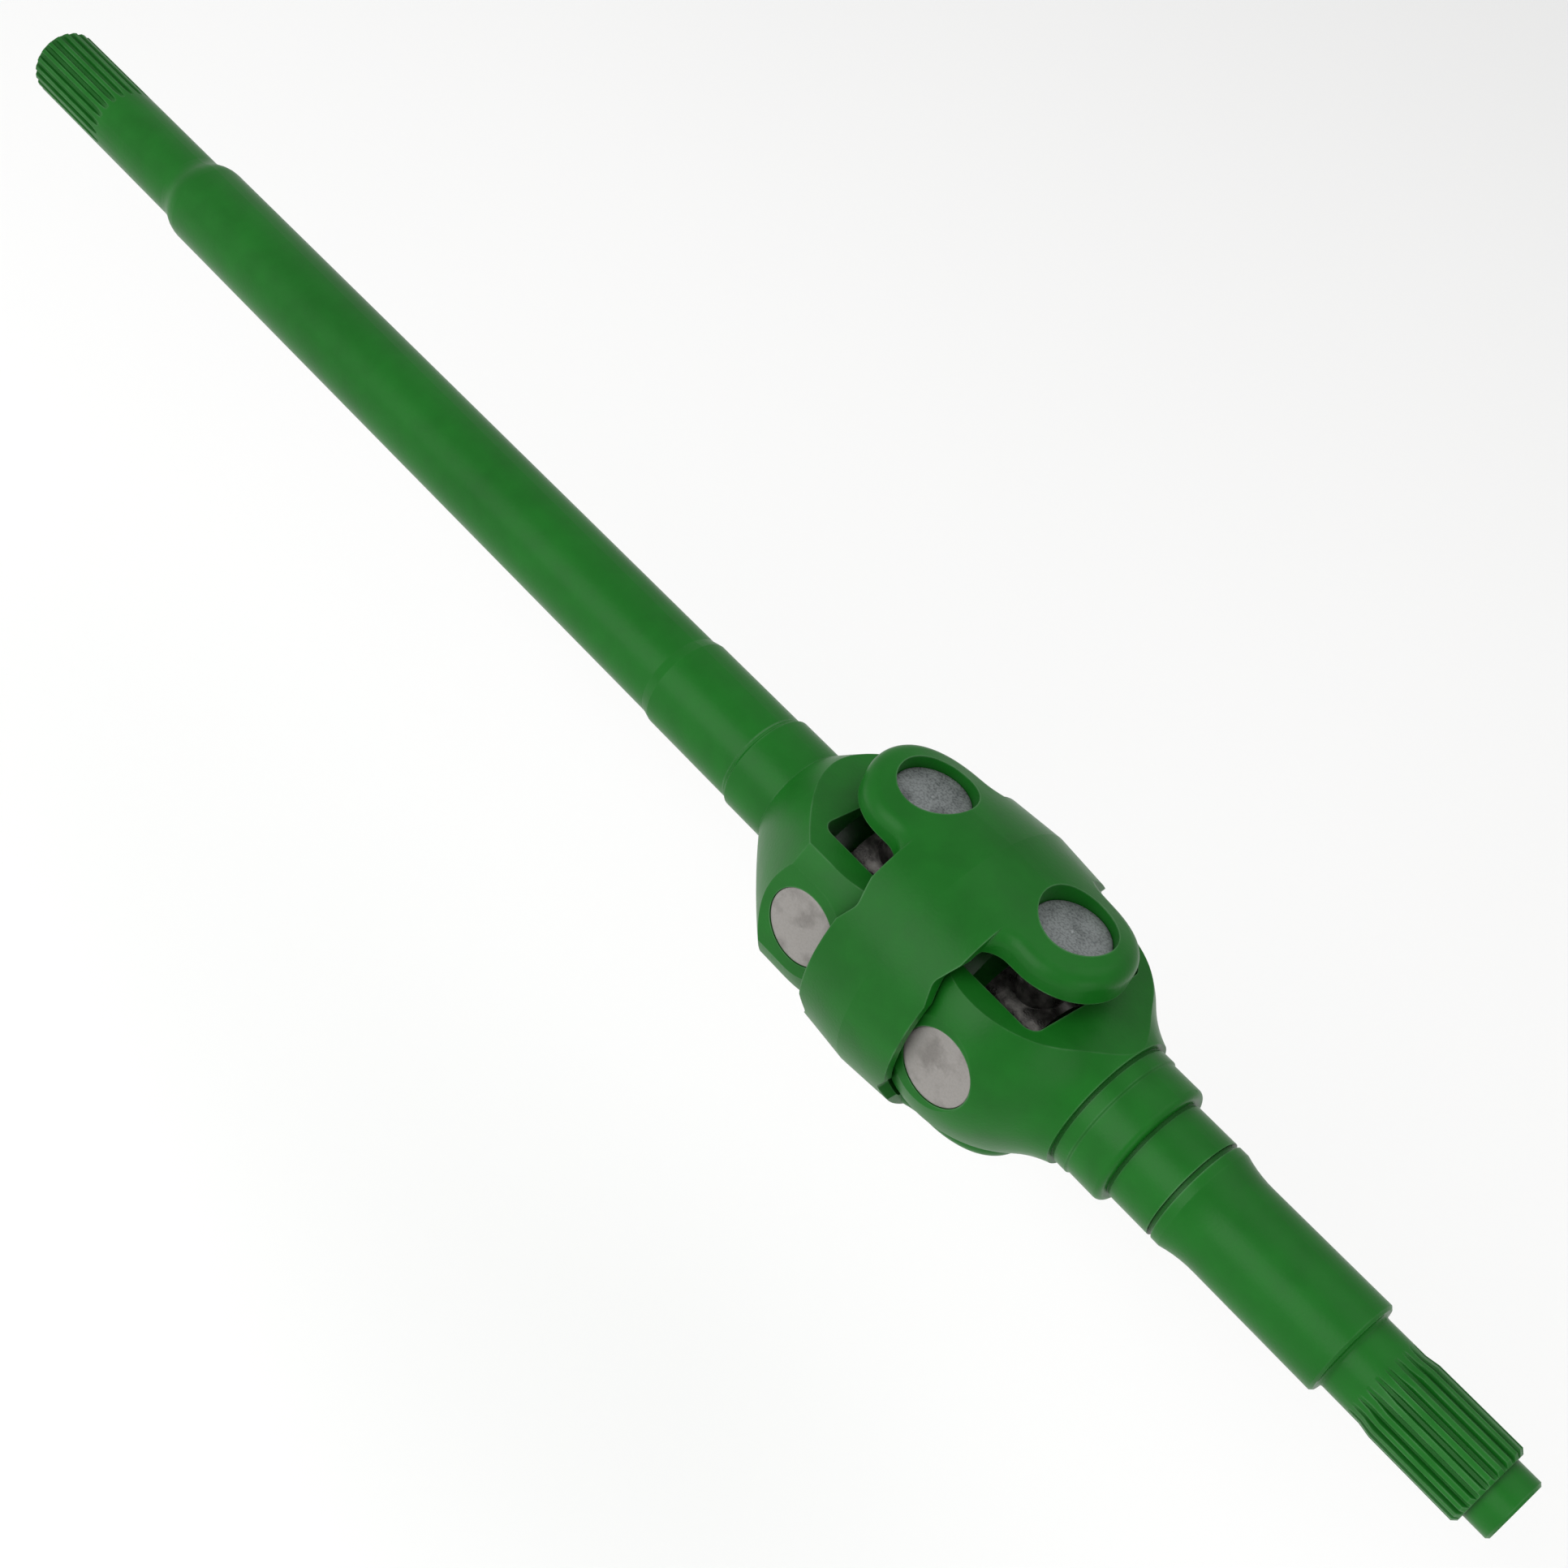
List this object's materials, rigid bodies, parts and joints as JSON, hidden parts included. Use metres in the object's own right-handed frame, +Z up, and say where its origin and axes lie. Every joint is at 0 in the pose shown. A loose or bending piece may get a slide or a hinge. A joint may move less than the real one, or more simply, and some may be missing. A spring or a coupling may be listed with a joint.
{
  "type": "universal joint shaft",
  "caption": "Double universal joint shaft for a steered driving axle: long splined bar, centre yoke on two needle-bearing crosses, and a short stub with seal journal, bearing seat and spline.",
  "frame": {"origin": "shaft axis at the shoulder of the wheel side bearing seat", "axes": "+X along the shaft towards the wheel side spline, +Z up along the centre yoke trunnions, shafts in line at rest"},
  "size_m": [0.8573, 0.1108, 0.1108],
  "materials": {
    "green_paint": "satin sprayed enamel",
    "cup_steel": "drawn and ground, slightly stained",
    "bearing_steel": "ground and polished",
    "spring_steel": "phosphated",
    "seal_rubber": "matt",
    "plated_steel": "zinc plated",
    "cross_steel": "forged and oiled, trunnions ground"
  },
  "bodies": {
    "wheel_shaft": {"wheel_fork_shaft": "green_paint", "wheel_fork_clips": "spring_steel", "wheel_front_cup": "cup_steel", "wheel_front_needles": "bearing_steel", "wheel_back_cup": "cup_steel", "wheel_back_needles": "bearing_steel"},
    "axle_shaft": {"axle_fork": "green_paint", "axle_bar": "green_paint", "axle_fork_clips": "spring_steel", "axle_front_cup": "cup_steel", "axle_front_needles": "bearing_steel", "axle_back_cup": "cup_steel", "axle_back_needles": "bearing_steel"},
    "yoke": {"centre_yoke": "green_paint", "yoke_clips": "spring_steel", "wheel_top_cup": "cup_steel", "wheel_top_needles": "bearing_steel", "wheel_bottom_cup": "cup_steel", "wheel_bottom_needles": "bearing_steel", "axle_top_cup": "cup_steel", "axle_top_needles": "bearing_steel", "axle_bottom_cup": "cup_steel", "axle_bottom_needles": "bearing_steel"},
    "wheel_side_cross": {"wheel_cross": "cross_steel", "wheel_grease_nipple": "plated_steel", "wheel_trunnion_seals": "seal_rubber", "wheel_thrust_washers": "bearing_steel"},
    "axle_side_cross": {"axle_cross": "cross_steel", "axle_grease_nipple": "plated_steel", "axle_trunnion_seals": "seal_rubber", "axle_thrust_washers": "bearing_steel"}
  },
  "joints": [
    {"name": "wheel_fork_trunnion", "type": "hinge", "parent": "wheel_shaft", "child": "wheel_side_cross", "pos_m": [-0.0644, 0, 0], "axis": [0, 1, 0], "range_deg": [-15, 15]},
    {"name": "wheel_yoke_trunnion", "type": "hinge", "parent": "wheel_side_cross", "child": "yoke", "pos_m": [-0.0644, 0, 0], "axis": [0, 0, 1], "range_deg": [-15, 15]},
    {"name": "axle_yoke_trunnion", "type": "hinge", "parent": "yoke", "child": "axle_side_cross", "pos_m": [-0.1346, 0, 0], "axis": [0, 0, 1], "range_deg": [-15, 15]},
    {"name": "axle_fork_trunnion", "type": "hinge", "parent": "axle_side_cross", "child": "axle_shaft", "pos_m": [-0.1346, 0, 0], "axis": [0, 1, 0], "range_deg": [-15, 15]}
  ]
}
